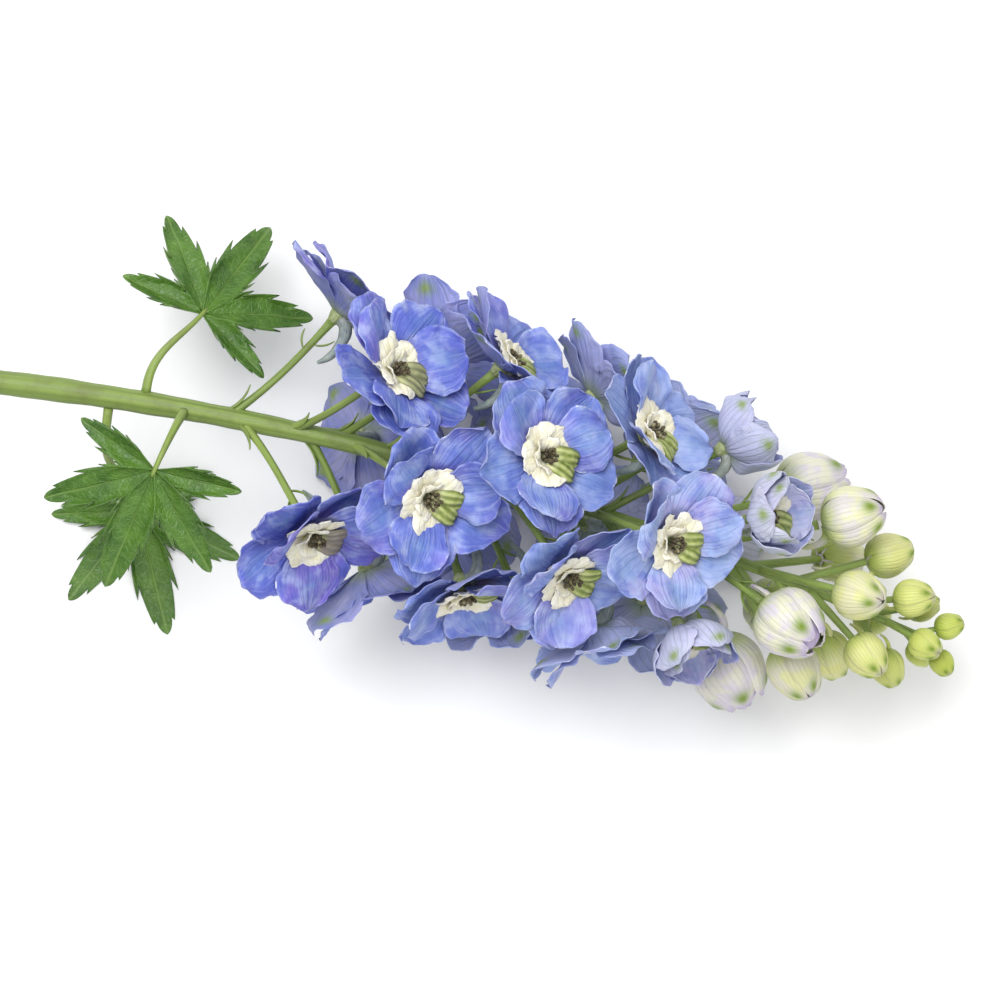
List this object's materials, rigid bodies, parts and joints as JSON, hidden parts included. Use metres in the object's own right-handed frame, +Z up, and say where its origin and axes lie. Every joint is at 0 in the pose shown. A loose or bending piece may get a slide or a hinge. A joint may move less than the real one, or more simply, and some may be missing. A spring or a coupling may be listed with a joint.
{
  "type": "delphinium flower spike",
  "caption": "Cut delphinium spike lying down: blue florets with white centres at its foot, pale half-open cups, green closed buds at its tip and lobed leaves on the stem.",
  "frame": {"origin": "on the surface that the spike lies on, under the middle of the box round the whole spike", "axes": "+X along the spike from its cut end towards its bud tip, +Y to its left, +Z up from the surface"},
  "size_m": [0.364, 0.1464, 0.119],
  "materials": {
    "sepal": "soft petal, blue-violet, slightly satin",
    "bee": "soft matte petal, cream white with a green-yellow base",
    "half_open": "soft petal, pale lilac-blue with green veins",
    "opening": "soft bud, pale green and lilac",
    "stem": "fresh green stem, slightly satin",
    "leaf": "green leaf, matte"
  },
  "bodies": {
    "root": {"floret_01": "sepal", "floret_02": "sepal", "floret_03": "sepal", "floret_04": "sepal", "floret_05": "sepal", "floret_06": "sepal", "floret_07": "sepal", "floret_08": "sepal", "floret_09": "sepal", "floret_10": "sepal", "floret_11": "sepal", "floret_12": "sepal", "floret_13": "sepal", "floret_14": "sepal", "floret_15": "sepal", "floret_16": "sepal", "floret_17": "sepal", "floret_18": "sepal", "floret_19": "sepal", "floret_20": "sepal", "floret_21": "sepal", "bee_01": "bee", "bee_02": "bee", "bee_03": "bee", "bee_04": "bee", "bee_05": "bee", "bee_06": "bee", "bee_07": "bee", "bee_08": "bee", "bee_09": "bee", "bee_10": "bee", "bee_11": "bee", "bee_12": "bee", "bee_13": "bee", "bee_14": "bee", "bee_15": "bee", "bee_16": "bee", "bee_17": "bee", "bee_18": "bee", "bee_19": "bee", "bee_20": "bee", "bee_21": "bee", "half_open_1": "half_open", "half_open_2": "half_open", "half_open_3": "half_open", "half_open_4": "half_open", "opening_1": "opening", "opening_2": "opening", "opening_3": "opening", "opening_4": "opening", "opening_5": "opening", "stem": "stem", "leaf_1": "leaf", "leaf_2": "leaf", "leaf_3": "leaf"}
  },
  "joints": []
}
